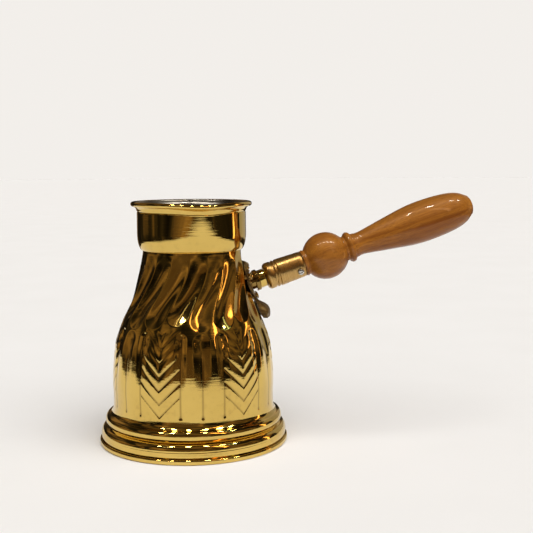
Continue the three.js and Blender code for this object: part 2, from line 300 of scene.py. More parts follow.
def flute_depth(angle, height):
    """Swirled channels round the shoulder, each with a round lower end."""
    spacing = 360 / FLUTES
    untwisted = angle - SWIRL * smooth_step(FLUTE_FOOT, FLUTE_HEAD, height)
    aside, number = from_nearest(untwisted, spacing, spacing / 2)
    end = np.asarray(LOBE_ENDS)[(number + 1) % len(LOBE_ENDS)]
    below = np.clip(end + LOBE_LENGTH - height, 0, None) / LOBE_LENGTH
    shallower = 1 - 0.35 * smooth_step(70, 86, height)
    fade = 1 - smooth_step(FLUTE_HEAD - 6, NECK_HEIGHT + 1, height)
    return FLUTE_DEPTH * shallower * fade * dish(np.hypot(2 * aside / spacing, below))


def leaf_place(angle, height, radius):
    """Where a point is in its leaf: across it, up its chevrons in pitches, and 1 if it is inside."""
    aside, _ = from_nearest(angle, 360 / LEAVES)
    across = np.abs(radians(aside)) * radius
    rise = height - CHEVRON_FOOT - across
    inside = 1 - smooth_step(LEAF_HALF_ANGLE - 1.2, LEAF_HALF_ANGLE - 0.1, np.abs(aside))
    inside = inside * smooth_step(-0.5, 0.1, rise)
    inside = inside * (1 - smooth_step(LEAF_TOP - 2, LEAF_TOP + 1, height))
    return across, rise / CHEVRON_PITCH, inside


def swollen(angle, height, radius):
    """Soft waves between the chevrons, and a midrib, in the upper half of each leaf."""
    across, band, inside = leaf_place(angle, height, radius)
    upper = smooth_step(32, 46, height)
    waves = 0.06 * (1 + np.cos(FULL_TURN * band))
    midrib = 0.1 * np.exp(-((across / 0.8) ** 2))
    return (waves + midrib) * upper * inside


def hollows(angle, height, radius):
    """Round-topped hollows between the leaves."""
    depth = np.zeros_like(angle + height)
    for place in GROOVE_ANGLES:
        aside, _ = from_nearest(angle, 360 / LEAVES, place)
        half_width = 4.3 if place == 30.0 else 3.1
        above = np.clip(height - GROOVE_TOP + half_width, 0, None)
        hollow = dish(np.hypot(radians(aside) * radius, above) / half_width)
        depth += GROOVE_DEPTH * hollow * smooth_step(26, 56, height)
    return depth


def incised(angle, height, radius):
    """How much of the full depth a chased line has: 0 beside the lines, 1 in the middle of one."""
    _, band, inside = leaf_place(angle, height, radius)
    aside = (band - np.round(band)) * CHEVRON_PITCH * math.sin(math.pi / 4)
    fading = 1 - 0.5 * smooth_step(38, 48, height)
    lines = np.exp(-((aside / LINE_WIDTH) ** 2)) * inside * fading
    for place in GROOVE_ANGLES:
        aside, _ = from_nearest(angle, 360 / LEAVES, place)
        across = radians(aside) * radius
        drawn = smooth_step(LINE_FOOT - 0.3, LINE_FOOT + 0.3, height)
        drawn = drawn * (1 - smooth_step(42, 52, height))
        lines = lines + 0.8 * np.exp(-((across / LINE_WIDTH) ** 2)) * drawn
        dot = np.hypot(across, height - LINE_FOOT)
        lines = lines + 0.9 * np.exp(-((dot / 0.7) ** 2))
    return np.clip(lines, 0, 1)


def unevenness(angle, height):
    """The small waves that hand finishing leaves in the sheet."""
    random = np.random.default_rng(7)
    depth = np.zeros_like(angle + height)
    for _ in range(14):
        turns = random.integers(1, 15)
        rise = random.uniform(-0.16, 0.16)
        phase = random.uniform(0, FULL_TURN)
        size = 0.035 / (1 + 0.16 * turns)
        depth += size * np.sin(radians(angle) * turns + height * rise + phase)
    return depth + 0.05


def on_wall(height):
    """1 where the wall is patterned, fading to 0 above the foot and at the neck."""
    above_foot = smooth_step(PATTERN_FOOT, PATTERN_FOOT + 3, height)
    return above_foot * (1 - smooth_step(NECK_HEIGHT - 1.4, NECK_HEIGHT + 0.8, height))


def relief(angle, height):
    """How far the wall is pressed inwards, in millimetres. Angles are in degrees."""
    radius = wall_radius(height)
    pattern = flute_depth(angle, height) + swollen(angle, height, radius)
    pattern = pattern + hollows(angle, height, radius) + LINE_DEPTH * incised(angle, height, radius)
    return pattern * on_wall(height)


def lip_share(angle, height):
    """How far the wall is drawn out into the pouring lip, from 0 to 1."""
    aside, _ = from_nearest(angle, 360.0, LIP_ANGLE)
    rise = np.clip((height - LIP_START) / (RIM_HEIGHT - LIP_START), 0, 1)
    return np.exp(-((aside / LIP_HALF_ANGLE) ** 2)) * (1 - (1 - rise) ** 1.3)


def foot_outline():
    """From the flange held in the crimp up to the foot of the wall: two rolls and a groove."""
    bottom = SHEET + GAP
    flange = 46.3
    waist = WAIST_RADIUS
    lower_roll = arc(44.35, 5.1, 3.8, -39, 74, 26, squeeze=0.54)
    for turned_line in (4.9, 5.8):
        near = np.exp(-(((lower_roll[:, 1] - turned_line) / 0.22) ** 2))
        lower_roll[:, 0] -= 0.16 * near
    upper_roll = arc(41.9, 12.2, 2.7, -74, 64, 22, squeeze=0.85)
    return joined(
        (flange, bottom),
        (flange, bottom + 0.6),
        (waist, bottom + 0.9),
        (waist, CRIMP_HEIGHT + 0.15),
        lower_roll,
        (44.35, 9.0),
        (GROOVE_RADIUS, 9.15),
        upper_roll,
        (42.35, 14.86),
    )


def collar_outline():
    """Round shoulder above the neck, the collar, and the flare out to the rim."""
    bulge = COLLAR_RADIUS - NECK_RADIUS
    rise = COLLAR_BOTTOM - NECK_HEIGHT - 1
    turn = radians(np.linspace(0, 90, 19))
    shoulder = np.column_stack(
        [NECK_RADIUS + bulge * np.sin(turn), COLLAR_BOTTOM - rise * np.cos(turn)]
    )
    barrel = line((COLLAR_RADIUS, COLLAR_BOTTOM), (COLLAR_RADIUS - 0.05, COLLAR_TOP - 0.3), 24)
    groove = arc(COLLAR_RADIUS + 0.25, COLLAR_TOP + 0.2, 0.5, -125, -235, 5)
    flare = arc(RIM_RADIUS - 0.4, COLLAR_TOP + 0.5, 2.6, 170, 98, 12, squeeze=0.95)
    return joined(shoulder, barrel, groove, flare)


def inner_outline():
    """Inside of the wall, from the rim down to the flange."""
    wall = WALL_LINE[::-2].copy()
    wall[:, 0] -= WALL
    foot = WAIST_RADIUS - WALL
    ledge = GROOVE_RADIUS - 0.7 - WALL
    return joined(
        arc(RIM_RADIUS - 0.4, COLLAR_TOP + 0.9, 3.9, 102, 160, 8, squeeze=0.95),
        line((COLLAR_RADIUS - WALL, COLLAR_TOP), (COLLAR_RADIUS - WALL, COLLAR_BOTTOM + 0.5), 6),
        spline(
            (
                (COLLAR_RADIUS - WALL - 0.2, COLLAR_BOTTOM - 1.6),
                (NECK_RADIUS - WALL + 0.9, NECK_HEIGHT + 3.5),
                (NECK_RADIUS - WALL, NECK_HEIGHT + 0.3),
            ),
            4,
        ),
        wall,
        (ledge, 13),
        (ledge, 9),
        (foot, 7.8),
        (foot, 2.6),
        (foot - 0.2, SHEET + GAP),
    )


def dense_wall():
    heights = np.linspace(STEP_TOP, NECK_HEIGHT, 320)
    return np.column_stack([wall_radius(heights), heights])


def vessel_outline():
    bead = arc(RIM_RADIUS - BEAD_RADIUS, RIM_HEIGHT - BEAD_RADIUS, BEAD_RADIUS, -115, 165, 16)
    return joined(foot_outline(), dense_wall(), collar_outline(), bead, inner_outline())


def emboss(points):
    """Presses the pattern into the vessel's smooth shape and draws out the lip."""
    across = np.hypot(points[..., 0], points[..., 1])
    angle = np.degrees(np.arctan2(points[..., 1], points[..., 0]))
    height = points[..., 2]
    share = lip_share(angle, height)
    settled = smooth_step(16, 22, height) * (1 - smooth_step(116, 118, height))
    across = across - relief(angle, height) - unevenness(angle, height) * settled
    across = across + LIP_REACH * share
    return np.stack(
        [
            across * np.cos(radians(angle)),
            across * np.sin(radians(angle)),
            height - LIP_DROP * share,
        ],
        axis=-1,
    )


def make_vessel(brass, tin):
    outline = vessel_outline()
    piece = lathe("vessel", outline, COLUMNS, sharp_angle=50, reshape=emboss)
    angle = np.arange(COLUMNS) * 360.0 / COLUMNS
    height = outline[:, 1:]
    hollow = relief(angle[None, :], height)
    set_attribute(piece, "hollow", np.clip(hollow / FLUTE_DEPTH, 0, 1))
    lines = incised(angle[None, :], height, wall_radius(height)) * on_wall(height)
    set_attribute(piece, "lines", lines)
    finish_piece(piece, brass, "pot", "body_shell")
    piece.data.materials.append(tin)
    first_inner_row = int(np.argmax(outline[:, 1])) + 2
    inner = np.arange(len(outline)) >= first_inner_row
    piece.data.polygons.foreach_set("material_index", np.repeat(inner, COLUMNS).astype(np.int32))
    return piece


def make_base(brass):
    """A disc with its edge folded up and in over the foot's flange."""
    fold = 0.45
    edge = 0.65
    inner_edge = 45.9
    outline = joined(
        (0, 0),
        (BASE_RADIUS - 6, 0),
        (BASE_RADIUS - 5, 0.12),
        (BASE_RADIUS - 4, 0.0),
        arc(BASE_RADIUS - 0.9, 0.9, 0.9, -90, 0, 8),
        arc(BASE_RADIUS - 0.8, CRIMP_HEIGHT - 0.8, 0.8, 0, 90, 8),
        (inner_edge + 0.1, CRIMP_HEIGHT),
        (inner_edge, CRIMP_HEIGHT - 0.12),
        (inner_edge, CRIMP_HEIGHT - fold),
        (BASE_RADIUS - edge, CRIMP_HEIGHT - fold),
        (BASE_RADIUS - edge, SHEET),
        (0, SHEET),
    )
    piece = lathe("base_disc", outline, 288)
    set_attribute(piece, "hollow", np.zeros(len(piece.data.vertices)))
    return finish_piece(piece, brass, "pot", "base_plate")


def make_seam(solder):
    """The fillet of solder inside, a little uneven round its length."""
    outer = float(SEAM_HIGH.x)
    leg = float(SEAM_HIGH.z - SEAM_LOW.z)
    bottom = float(SEAM_LOW.z)
    outline = joined(
        (outer - leg, bottom),
        (outer, bottom),
        (outer, bottom + leg),
        arc(outer - leg, bottom + leg, leg, -8, -82, 8),
    )

    def puddle(points):
        angle = np.arctan2(points[..., 1], points[..., 0])
        wave = 0.12 * (np.sin(23 * angle) + np.sin(37 * angle + 1.3)) - 0.24
        slope = np.clip((points[..., 2] - bottom) / leg, 0, 1)
        inward = np.clip((outer - np.hypot(points[..., 0], points[..., 1])) / leg, 0, 1)
        shift = 1 + wave * 4 * slope * inward / outer
        points[..., :2] *= shift[..., None]
        return points

    piece = lathe("solder_fillet", outline, 192, reshape=puddle)
    return finish_piece(piece, solder, "pot", "solder_seam")


# ---- Places on the handle side ------------------------------------------------------------


def outward_matrix(azimuth, tilt, radius, height):
    """Local +Z points outwards at an azimuth round the vessel and a tilt above level."""
    turn = Matrix.Rotation(math.radians(azimuth), 4, "Z")
    shift = Matrix.Translation(Vector((radius, 0, height)) * MM)
    lean = Matrix.Rotation(math.pi / 2 - tilt, 4, "Y")
    return turn @ shift @ lean


HANDLE_TILT = math.asin(HANDLE_AXIS.z)
HANDLE_MATRIX = outward_matrix(0, HANDLE_TILT, HANDLE_START.x, HANDLE_START.z)

RIVETS = (
    ("left", -14.0, 82.0),
    ("right", 14.0, 82.0),
    ("lower", 0.0, 71.2),
)


# ---- Bracket ------------------------------------------------------------------------------

PAD_CENTRE = 80.5
PLATE = 1.7


def bracket_half_width(height):
    pad = 8.6 * np.sqrt(np.clip(1 - ((height - PAD_CENTRE) / 9.2) ** 2, 0, None))
    palmette = 8.2 * smooth_step(71.5, 65, height) - 2.6 * smooth_step(64, 61, height)
    return np.maximum(np.maximum(pad, 3.1), palmette)


def bracket_stand_off(height):
    return GAP + 2.2 * smooth_step(72.5, 63, height)


def bracket_relief(height, across):
    """Thickness of the casting: beaded crest and edge, ribs that spread over the palmette."""
    swelling = 2.3 * smooth_step(70, 67, height) * (1 - smooth_step(67, 60.5, height))
    crown = 1 - 0.35 * across**2
    width = bracket_half_width(height)
    side = across * width
    spread = np.arctan2(side, height - 74.5)
    ribs = 0.34 * np.cos(spread * 15) * smooth_step(70.5, 67.5, height)
    around = np.arctan2(side, height - PAD_CENTRE)
    edge = np.hypot(side / 8.0, (height - PAD_CENTRE) / 8.7)
    beads = np.exp(-(((edge - 0.86) / 0.12) ** 2)) * (0.5 + 0.5 * np.cos(around * 22))
    beads = beads * smooth_step(77, 80, height)
    hollow = -0.35 * np.exp(-(((edge - 0.64) / 0.09) ** 2)) * smooth_step(72, 76, height)
    return (PLATE + swelling) * crown + ribs + beads + hollow


def make_bracket(cast):
    rows, columns = 150, 56
    height = np.linspace(BRACKET_HIGH.z, BRACKET_LOW.z, rows)[:, None]
    across = np.sin(np.linspace(-math.pi / 2, math.pi / 2, columns))[None, :]
    wall = wall_radius(height)
    back = wall + GAP + 0.4 * smooth_step(72.5, 66, height) + 0 * across
    rounding = np.clip(1 - np.abs(across) ** 6, 0, 1) ** 0.5
    ends = np.clip(np.minimum(height - BRACKET_LOW.z, BRACKET_HIGH.z - height) / 0.8, 0, 1)
    thickness = bracket_relief(height, across)
    thickness = np.clip(thickness * (0.35 + 0.65 * rounding * np.sqrt(ends)), 0.35, None)
    front = wall + bracket_stand_off(height) + thickness
    angle = across * bracket_half_width(height) / wall

    def layer(radius):
        place = [radius * np.cos(angle), radius * np.sin(angle), height + 0 * radius]
        return np.stack(place, axis=-1).reshape(-1, 3)

    count = rows * columns
    index = np.arange(count).reshape(rows, columns)

    def quads(a, b, c, d):
        return np.stack([a, b, c, d], axis=-1).reshape(-1, 4)

    inside = quads(index[:-1, :-1], index[:-1, 1:], index[1:, 1:], index[1:, :-1])
    outside = inside[:, ::-1] + count
    left = quads(index[:-1, 0], index[1:, 0], index[1:, 0] + count, index[:-1, 0] + count)
    right = quads(index[1:, -1], index[:-1, -1], index[:-1, -1] + count, index[1:, -1] + count)
    top = quads(index[0, 1:], index[0, :-1], index[0, :-1] + count, index[0, 1:] + count)
    bottom = quads(index[-1, :-1], index[-1, 1:], index[-1, 1:] + count, index[-1, :-1] + count)
    faces = np.vstack([inside, outside, left, right, top, bottom]).tolist()
    piece = make_object("bracket", np.vstack([layer(back), layer(front)]), faces, 60)
    # The bracket's tone is made darker from 77 mm down to 70 mm.
    darker_low_on_bracket = 0.8 * smooth_step(77, 70, height)
    dark = np.maximum(np.clip(1.6 - thickness, 0, 1), darker_low_on_bracket)
    # Painted shade: the back layer, against the wall, gets the full hollow value, so the cast brass
    # colours it dark like the shadow in the gap.
    set_attribute(piece, "hollow", np.concatenate([np.ones(count), dark.ravel()]))
    cutter = lathe("spigot_hole", ((0, -4), (4.2, -4), (4.2, 8), (0, 8)), 96)
    cutter.data.transform(HANDLE_MATRIX)
    cut_away(piece, cutter)
    return finish_piece(piece, cast, "pot", "bracket_plate")


def make_rivets(cast):
    for label, azimuth, height in RIVETS:
        seat = (bracket_stand_off(height) + PLATE) * math.cos(wall_tilt(height)) + GAP
        inside = -WALL - FLUTE_DEPTH - 0.1
        outline = joined(
            (0, inside - 0.8),
            arc(0, inside, 0.8, -80, -8, 6, squeeze=2.1),
            (1.1, inside),
            (1.1, seat),
            (2.0, seat),
            arc(0, seat + 0.15, 0.95, 4, 86, 9, squeeze=2.2),
            (0, seat + 1.1),
        )
        piece = lathe("rivet_" + label, outline, 40)
        set_attribute(piece, "hollow", np.zeros(len(piece.data.vertices)))
        matrix = outward_matrix(azimuth, wall_tilt(height), wall_radius(height), height)
        finish_piece(piece, cast, "pot", "bracket_rivet_" + label, matrix)


def make_boss(brass):
    bore = STUD_RADIUS + GAP
    outline = joined(
        (bore, 0.6),
        (4, 0.6),
        (4, 2.8),
        (5.15, 2.8),
        (5.35, 3.0),
        arc(4.95, 4.6, 0.4, 0, 90, 5),
        arc(4.85, 5.3, 0.3, -90, -180, 4),
        (4.55, 7.9),
        arc(4.15, BOSS_END - 0.4, 0.4, 0, 90, 5),
        (bore + 0.4, BOSS_END),
        (bore, BOSS_END - 0.4),
    )
    piece = lathe("threaded_boss", outline, 96)
    # The end next to the plate gets full hollow and lines values: the brass there is rougher and much
    # darker.
    rough_and_dark_near_plate = np.clip((5.2 - np.array([v.co.z for v in piece.data.vertices]) / MM) / 0.3, 0, 1)
    set_attribute(piece, "hollow", rough_and_dark_near_plate)
    set_attribute(piece, "lines", rough_and_dark_near_plate)
    return finish_piece(piece, brass, "pot", "bracket_boss", HANDLE_MATRIX)


# ---- Handle -------------------------------------------------------------------------------


def make_stud(steel):
    """A threaded rod with a head that the ferrule holds."""
    thread_end = 9.9
    head_start = 10.2
    head_end = 12.7
    head_radius = 4.4
    bevel = 0.2

    def thread(points):
        angle = np.arctan2(points[..., 1], points[..., 0])
        station = points[..., 2]
        phase = station / THREAD_PITCH - angle / FULL_TURN
        depth = 0.44 * np.abs(2 * (phase - np.floor(phase)) - 1)
        on_thread = smooth_step(1.0, 1.8, station) * (1 - smooth_step(9.2, thread_end, station))
        across = np.hypot(points[..., 0], points[..., 1])
        share = np.where(across < STUD_RADIUS + 0.1, on_thread * depth, 0) / np.maximum(across, 0.1)
        points[..., :2] *= (1 - share)[..., None]
        return points

    outline = joined(
        (0, STUD_START),
        (STUD_RADIUS - 0.6, STUD_START),
        line((STUD_RADIUS, STUD_START + 0.5), (STUD_RADIUS, thread_end), 110),
        (STUD_RADIUS, head_start),
        (head_radius - bevel, head_start),
        (head_radius, head_start + bevel),
        (head_radius, head_end - bevel),
        (head_radius - bevel, head_end),
        (0, head_end),
    )
    piece = lathe("threaded_stud", outline, 48, sharp_angle=55, reshape=thread)
    return finish_piece(piece, steel, "stud", "handle_stud", HANDLE_MATRIX)


def make_ferrule(brushed):
    """A cap with a round shoulder and two turned grooves, slightly tapered to its mouth."""
    stud_hole = STUD_RADIUS + GAP
    radius = 6.9
    mouth = 6.45
    first = FERRULE_START + 4.6
    second = first + 1.6
    outline = joined(
        (stud_hole, FERRULE_START),
        (4.85, FERRULE_START),
        arc(4.8, FERRULE_START + 2.0, 2.0, -84, -4, 9),
        (6.8, first - 1.0),
        arc(7.15, first, 0.75, 222, 138, 6),
        arc(6.35, (first + second) / 2, 0.55, -50, 50, 5),
        arc(7.2, second, 0.75, 222, 138, 6),
        (6.88, second + 0.75),
        line((radius, second + 1.1), (mouth + 0.06, FERRULE_END - 0.7), 10),
        (mouth - 0.12, FERRULE_END - 0.45),
        (mouth + 0.02, FERRULE_END - 0.2),
        (mouth - 0.2, FERRULE_END),
        (FERRULE_BORE, FERRULE_END),
        (FERRULE_BORE, FERRULE_START + 1.2),
        (stud_hole, FERRULE_START + 1.2),
    )
    piece = lathe("ferrule_sleeve", outline, 128)
    return finish_piece(piece, brushed, "handle", "ferrule", HANDLE_MATRIX)


PIN_STATION = 26.0
PIN_MATRIX = (
    HANDLE_MATRIX
    @ Matrix.Translation((0, 0, PIN_STATION * MM))
    @ Matrix.Rotation(math.radians(22), 4, "Z")
    @ Matrix.Rotation(math.pi / 2, 4, "X")
)


def make_screw(steel):
    """A small domed screw with one slot across its head."""
    seat = 6.95

    def slot_cut(points):
        top = points[..., 2] > seat + 0.3
        in_slot = 1 - smooth_step(0.16, 0.24, np.abs(points[..., 0]))
        points[..., 2] -= np.where(top, in_slot * 0.4, 0)
        return points

    outline = joined(
        (0, 1.6),
        (0.9, 2.8),
        (0.9, seat),
        (1.58, seat),
        arc(0, seat + 0.25, 0.72, 2, 89, 26, squeeze=2.28),
        (0, seat + 0.97),
    )
    piece = lathe("ferrule_pin", outline, 72, reshape=slot_cut)
    return finish_piece(piece, steel, "handle", "ferrule_screw", PIN_MATRIX)


def make_grip(wood):
    """Turned in one piece: tenon in the ferrule, step, ball, bead and baluster."""
    tenon = FERRULE_BORE - GAP
    tenon_start = 13
    shoulder = FERRULE_END + GAP
    bead = BEAD_CENTRE
    baluster = spline(
        (
            (5.9, 59.5),
            (6.1, 63),
            (8.2, 75.4),
            (10.3, 89.2),
            (10.7, 100),
            (9.9, 111.3),
            (8.2, 118),
            (5.2, 122.7),
        ),
        9,
    )
    outline = joined(
        (0, tenon_start),
        (tenon - 0.5, tenon_start),
        (tenon, tenon_start + 0.5),
        (tenon, shoulder),
        (6.4, shoulder),
        arc(6.1, shoulder + 0.95, 0.6, -60, 60, 6),
        (6.3, shoulder + 1.8),
        arc(0, BALL_CENTRE, BALL_RADIUS, -57.5, 59, 44),
        arc(7.0, bead - 2.4, 0.7, 210, 120, 5),
        arc(6.3, bead, 1.6, -62, 62, 14),
        arc(6.9, bead + 1.9, 0.6, 230, 150, 4),
        (6.25, bead + 2.6),
        (6.1, bead + 3.6),
        baluster,
        (4.1, 123.4),
        (2.8, 123.8),
        (1.2, GRIP_END),
        (0, GRIP_END),
    )
    outline[:, 0] *= WITHIN_BOX
    piece = lathe("wooden_grip", outline, 160, sharp_angle=55)
    return finish_piece(piece, wood, "handle", "handle_grip", HANDLE_MATRIX)


# ---- Materials ----------------------------------------------------------------------------


class Shader:
    """A material's node tree with one Principled shader, and short calls to add to it."""

    def __init__(self, name, **settings):
        self.material = bpy.data.materials.new(name)
        self.material.use_nodes = True
        self.tree = self.material.node_tree
        self.principled = self.tree.nodes["Principled BSDF"]
        for socket, value in settings.items():
            self.principled.inputs[socket.replace("_", " ")].default_value = value
        self.place = self.node("ShaderNodeAttribute", attribute_name="own_place").outputs["Vector"]

    def node(self, kind, **properties):
        made = self.tree.nodes.new(kind)
        for name, value in properties.items():
            setattr(made, name, value)
        return made

    def put(self, socket, value):
        if isinstance(value, bpy.types.NodeSocket):
            self.tree.links.new(value, socket)
        else:
            socket.default_value = value

    def stretched(self, scale):
        """The piece's own coordinates, scaled along each axis, in turns per metre."""
        mapping = self.node("ShaderNodeMapping")
        self.put(mapping.inputs["Vector"], self.place)
        mapping.inputs["Scale"].default_value = scale
        return mapping.outputs["Vector"]

    def noise(self, vector, scale=1.0, detail=2.0, roughness=0.5, distortion=0.0):
        made = self.node("ShaderNodeTexNoise")
        self.put(made.inputs["Vector"], vector)
        made.inputs["Scale"].default_value = scale
        made.inputs["Detail"].default_value = detail
        made.inputs["Roughness"].default_value = roughness
        made.inputs["Distortion"].default_value = distortion
        return made.outputs["Fac"]

    def remap(self, value, low, high, to_low=0.0, to_high=1.0):
        made = self.node("ShaderNodeMapRange")
        for socket, number in zip(
            ("Value", "From Min", "From Max", "To Min", "To Max"), (value, low, high, to_low, to_high)
        ):
            self.put(made.inputs[socket], number)
        return made.outputs["Result"]

    def math(self, operation, first, second=0.0):
        made = self.node("ShaderNodeMath", operation=operation)
        self.put(made.inputs[0], first)
        self.put(made.inputs[1], second)
        return made.outputs[0]

    def mix(self, factor, first, second):
        made = self.node("ShaderNodeMix", data_type="RGBA")
        self.put(made.inputs["Factor"], factor)
        self.put(made.inputs[6], first)
        self.put(made.inputs[7], second)
        return made.outputs[2]

    def attribute(self, name):
        return self.node("ShaderNodeAttribute", attribute_name=name).outputs["Fac"]

    def bump(self, height, distance, normal=None):
        made = self.node("ShaderNodeBump")
        made.inputs["Distance"].default_value = distance
        made.inputs["Strength"].default_value = 1.0
        self.put(made.inputs["Height"], height)
        if normal is not None:
            self.put(made.inputs["Normal"], normal)
        return made.outputs["Normal"]

    def finish(self, colour, roughness, normal):
        self.put(self.principled.inputs["Base Color"], colour)
        self.put(self.principled.inputs["Roughness"], roughness)
        self.put(self.principled.inputs["Normal"], normal)
        return self.material


def rgb(red, green, blue):
    return (red, green, blue, 1.0)


def polished_brass():
    """Bright yellow brass with spin marks round it, darker in the hollows of the pattern."""
    shader = Shader("polished_brass", Metallic=1.0)
    cloud = shader.noise(shader.place, 38, 3, 0.55)
    spin = shader.noise(shader.stretched((26, 26, 900)), 1, 3, 0.6)
    fine = shader.noise(shader.stretched((60, 60, 5200)), 1, 2, 0.6)
    spots = shader.noise(shader.place, 420, 2, 0.5)
    hollow = shader.attribute("hollow")
    colour = shader.mix(
        shader.remap(cloud, 0.32, 0.7), rgb(0.74, 0.525, 0.145), rgb(0.66, 0.45, 0.115)
    )
    tarnish = shader.math("MULTIPLY", shader.remap(spots, 0.52, 0.72), shader.remap(cloud, 0.4, 0.65))
    colour = shader.mix(shader.math("MULTIPLY", tarnish, 0.35), colour, rgb(0.42, 0.255, 0.085))
    colour = shader.mix(shader.math("MULTIPLY", hollow, 0.38), colour, rgb(0.46, 0.28, 0.09))
    lines = shader.attribute("lines")
    colour = shader.mix(shader.math("MULTIPLY", lines, 0.65), colour, rgb(0.13, 0.075, 0.025))
    roughness = shader.remap(cloud, 0.3, 0.75, 0.03, 0.075)
    roughness = shader.math("ADD", roughness, shader.math("MULTIPLY", hollow, 0.06))
    normal = shader.bump(spin, 0.00003)
    normal = shader.bump(fine, 0.000006, normal)
    return shader.finish(colour, roughness, normal)


def tinned_inside():
    """Wiped tin: satin grey with long smears and small scratches."""
    shader = Shader("tinned_inside", Metallic=1.0)
    smear = shader.noise(shader.stretched((60, 60, 220)), 1, 4, 0.6, 0.6)
    speck = shader.noise(shader.place, 900, 2, 0.5)
    colour = shader.mix(shader.remap(smear, 0.3, 0.7), rgb(0.19, 0.18, 0.165), rgb(0.38, 0.365, 0.34))
    colour = shader.mix(shader.remap(speck, 0.62, 0.78, 0, 0.5), colour, rgb(0.1, 0.09, 0.08))
    roughness = shader.remap(smear, 0.3, 0.7, 0.22, 0.42)
    return shader.finish(colour, roughness, shader.bump(smear, 0.00012))


def cast_brass():
    """Sand-cast brass: dull and dark in its hollows, bright where it is rubbed. The hollow attribute that
    darkens it also carries painted shade on the bracket's back.
    """
    shader = Shader("cast_brass", Metallic=1.0)
    grain = shader.noise(shader.place, 1600, 3, 0.6)
    cloud = shader.noise(shader.place, 260, 3, 0.6)
    hollow = shader.attribute("hollow")
    colour = shader.mix(shader.remap(cloud, 0.3, 0.7), rgb(0.54, 0.37, 0.13), rgb(0.34, 0.21, 0.07))
    # Real dirt in the casting's hollows, and painted shade where the hollow attribute marks the bracket's
    # back against the wall.
    dirt_and_painted_shade = shader.math("MULTIPLY", hollow, shader.remap(grain, 0.2, 0.6, 0.6, 1.0))
    colour = shader.mix(dirt_and_painted_shade, colour, rgb(0.1, 0.065, 0.03))
    cloudy = shader.remap(cloud, 0.3, 0.7, 0.2, 0.34)
    roughness = shader.math("ADD", cloudy, shader.math("MULTIPLY", hollow, 0.25))
    return shader.finish(colour, roughness, shader.bump(grain, 0.00016))


def brushed_brass():
    """Turned on a lathe and left as cut: fine rings, a coppery tone."""
    shader = Shader("brushed_brass", Metallic=1.0)
    rings = shader.noise(shader.stretched((40, 40, 3200)), 1, 3, 0.7)
    cloud = shader.noise(shader.stretched((90, 90, 160)), 1, 3, 0.6)
    colour = shader.mix(shader.remap(rings, 0.3, 0.7), rgb(0.62, 0.41, 0.15), rgb(0.44, 0.26, 0.085))
    colour = shader.mix(shader.remap(cloud, 0.45, 0.8, 0, 0.6), colour, rgb(0.36, 0.2, 0.075))
    roughness = shader.remap(rings, 0.3, 0.7, 0.24, 0.36)
    return shader.finish(colour, roughness, shader.bump(rings, 0.00005))


def bright_steel():
    shader = Shader("bright_steel", Metallic=1.0)
    wear = shader.noise(shader.place, 900, 3, 0.6)
    colour = shader.mix(shader.remap(wear, 0.3, 0.7), rgb(0.62, 0.61, 0.58), rgb(0.4, 0.38, 0.35))
    roughness = shader.remap(wear, 0.3, 0.7, 0.16, 0.32)
    return shader.finish(colour, roughness, shader.bump(wear, 0.00003))


def grey_solder():
    shader = Shader("grey_solder", Metallic=1.0)
    cloud = shader.noise(shader.place, 240, 4, 0.6)
    colour = shader.mix(shader.remap(cloud, 0.3, 0.7), rgb(0.52, 0.51, 0.49), rgb(0.3, 0.29, 0.27))
    roughness = shader.remap(cloud, 0.3, 0.7, 0.28, 0.5)
    return shader.finish(colour, roughness, shader.bump(cloud, 0.0003))


def varnished_wood():
    """Honey-brown beech with grain along the handle under a glossy varnish."""
    shader = Shader(
        "varnished_wood", Coat_Weight=0.4, Coat_Roughness=0.025, Coat_IOR=1.5, Specular_IOR_Level=0.1
    )
    warp = shader.noise(shader.stretched((35, 35, 9)), 1, 2, 0.5)
    figure = shader.noise(shader.stretched((190, 90, 7)), 1, 3, 0.6, 0.8)
    fibres = shader.noise(shader.stretched((2100, 2100, 45)), 1, 3, 0.7)
    pores = shader.noise(shader.stretched((3200, 3200, 190)), 1, 1, 0.5)
    colour = shader.mix(shader.remap(figure, 0.34, 0.66), rgb(0.40, 0.15, 0.018), rgb(0.19, 0.052, 0.005))
    colour = shader.mix(shader.remap(warp, 0.4, 0.7, 0, 0.5), colour, rgb(0.48, 0.21, 0.035))
    colour = shader.mix(shader.remap(fibres, 0.4, 0.72, 0, 0.7), colour, rgb(0.15, 0.045, 0.008))
    colour = shader.mix(shader.remap(pores, 0.66, 0.74, 0, 0.6), colour, rgb(0.14, 0.045, 0.01))
    roughness = shader.remap(fibres, 0.3, 0.8, 0.3, 0.45)
    return shader.finish(colour, roughness, shader.bump(fibres, 0.00003))


# ---- Studio -------------------------------------------------------------------------------

# Metres from here on, as in Blender.
FLOOR_RADIUS = 0.43
FAR_FLOOR_RADIUS = 9.0
FLOOR_COLOUR_IN_LIGHT = (0.893, 0.862, 0.825)  # the world has it too, so that no horizon shows


def floor_material():
    """Matt and almost plain."""
    shader = Shader("pale_floor", Specular_IOR_Level=0.0)
    shader.place = shader.node("ShaderNodeTexCoord").outputs["Object"]
    cloud = shader.noise(shader.place, 14, 3, 0.5)
    colour = shader.mix(cloud, rgb(0.86, 0.85, 0.83), rgb(0.9, 0.89, 0.875))
    return shader.finish(colour, 0.6, shader.bump(cloud, 0.0004))


